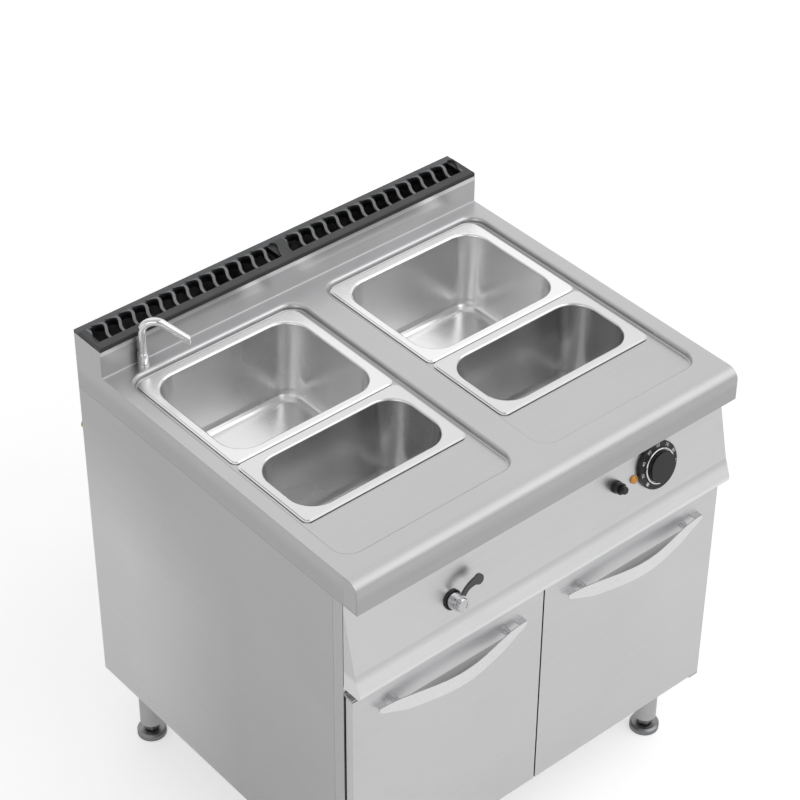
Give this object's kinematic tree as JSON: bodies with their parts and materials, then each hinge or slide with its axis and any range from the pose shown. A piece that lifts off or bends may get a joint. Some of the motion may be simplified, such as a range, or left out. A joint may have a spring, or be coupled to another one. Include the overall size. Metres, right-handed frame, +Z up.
{
  "type": "bain-marie with cabinet",
  "caption": "Free-standing electric bain-marie with two wells, lift-out pans, a filling spout, a flue grille and a two-door cabinet below.",
  "frame": {"origin": "centre of the bounding box's base, on the floor", "axes": "+Z up, the doors and controls face -Y, +X to the right seen from the front"},
  "size_m": [0.8, 0.756, 0.944],
  "materials": {
    "brushed_steel": "satin",
    "bright_steel": "fine satin",
    "foot_steel": "satin",
    "heater_steel": "oxidised",
    "chrome": "polished",
    "cast_iron": "matt enamel",
    "brass": "machined",
    "copper": "drawn",
    "rubber": "matt",
    "black_plastic": "moulded",
    "grey_plastic": "moulded",
    "dark_lever": "satin",
    "red_grip": "dipped",
    "amber_lens": "clear"
  },
  "bodies": {
    "cabinet": {"worktop": "brushed_steel", "nose_caps": "brushed_steel", "flue_box": "brushed_steel", "grille_left": "cast_iron", "grille_right": "cast_iron", "side_panel_left": "brushed_steel", "side_panel_right": "brushed_steel", "back_panel": "brushed_steel", "cabinet_floor": "brushed_steel", "cabinet_roof": "brushed_steel", "front_frame": "brushed_steel", "control_panel": "brushed_steel", "well_left": "brushed_steel", "well_right": "brushed_steel", "heater_left": "heater_steel", "heater_right": "heater_steel", "false_bottom_left": "bright_steel", "false_bottom_right": "bright_steel", "drain_manifold": "brushed_steel", "drain_valve": "brass", "inlet_fitting": "brass", "feed_pipe": "copper", "spout_pipe": "copper", "valve_body": "brass", "valve_ring": "rubber", "valve_boss": "chrome", "spout_base": "chrome", "thermostat": "grey_plastic", "pilot_lamp": "amber_lens", "reset_switch": "grey_plastic", "reset_collar": "black_plastic", "terminal_box": "grey_plastic", "cable_gland": "black_plastic", "hinge_left": "brushed_steel", "hinge_right": "brushed_steel", "catches": "black_plastic", "legs": "brushed_steel", "feet": "foot_steel", "rear_screws": "bright_steel"},
    "door_left": {"door_left": "brushed_steel", "door_liner_left": "brushed_steel", "handle_left": "bright_steel"},
    "door_right": {"door_right": "brushed_steel", "door_liner_right": "brushed_steel", "handle_right": "bright_steel"},
    "drain_lever": {"drain_lever": "red_grip"},
    "fill_lever": {"fill_lever": "dark_lever", "lever_cap": "chrome"},
    "dial": {"dial_knob": "black_plastic", "dial_ring": "chrome"},
    "reset_button": {"reset_button": "black_plastic"},
    "spout": {"spout": "chrome"},
    "pan_front_left": {"pan_front_left": "bright_steel"},
    "pan_front_right": {"pan_front_right": "bright_steel"},
    "pan_rear_left": {"pan_rear_left": "bright_steel"},
    "pan_rear_right": {"pan_rear_right": "bright_steel"},
    "overflow_left": {"overflow_left": "bright_steel"},
    "overflow_right": {"overflow_right": "bright_steel"}
  },
  "joints": [
    {"name": "door_left_swing", "type": "hinge", "parent": "cabinet", "child": "door_left", "pos_m": [-0.391, -0.33745, 0.4], "axis": [0, 0, -1], "range_deg": [0, 110]},
    {"name": "door_right_swing", "type": "hinge", "parent": "cabinet", "child": "door_right", "pos_m": [0.391, -0.33745, 0.4], "axis": [0, 0, 1], "range_deg": [0, 110]},
    {"name": "drain_lever_turn", "type": "hinge", "parent": "cabinet", "child": "drain_lever", "pos_m": [0, 0.24105, 0.4395], "axis": [0, 1, 0], "range_deg": [0, 90]},
    {"name": "fill_lever_turn", "type": "hinge", "parent": "cabinet", "child": "fill_lever", "pos_m": [-0.2, -0.37162, 0.7025], "axis": [0, -0.9755, 0.2198], "range_deg": [0, 90]},
    {"name": "dial_turn", "type": "hinge", "parent": "cabinet", "child": "dial", "pos_m": [0.2435, -0.34873, 0.72676], "axis": [0, 0.9755, -0.2198], "range_deg": [0, 270]},
    {"name": "reset_button_press", "type": "slide", "parent": "cabinet", "child": "reset_button", "axis": [0, 0.9755, -0.2198], "range_m": [0, 0.003], "stiffness_N_per_m": 300},
    {"name": "spout_swivel", "type": "hinge", "parent": "cabinet", "child": "spout", "pos_m": [-0.327, 0.26855, 0.88], "axis": [0, 0, 1], "range_deg": [-130, 38]},
    {"name": "pan_front_left_lift", "type": "slide", "parent": "cabinet", "child": "pan_front_left", "axis": [0, 0, 1], "range_m": [0, 0.25]},
    {"name": "pan_front_right_lift", "type": "slide", "parent": "cabinet", "child": "pan_front_right", "axis": [0, 0, 1], "range_m": [0, 0.25]},
    {"name": "pan_rear_left_lift", "type": "slide", "parent": "cabinet", "child": "pan_rear_left", "axis": [0, 0, 1], "range_m": [0, 0.035]},
    {"name": "pan_rear_right_lift", "type": "slide", "parent": "cabinet", "child": "pan_rear_right", "axis": [0, 0, 1], "range_m": [0, 0.25]},
    {"name": "overflow_left_lift", "type": "slide", "parent": "cabinet", "child": "overflow_left", "axis": [0, 0, 1], "range_m": [0, 0.03]},
    {"name": "overflow_right_lift", "type": "slide", "parent": "cabinet", "child": "overflow_right", "axis": [0, 0, 1], "range_m": [0, 0.03]}
  ]
}
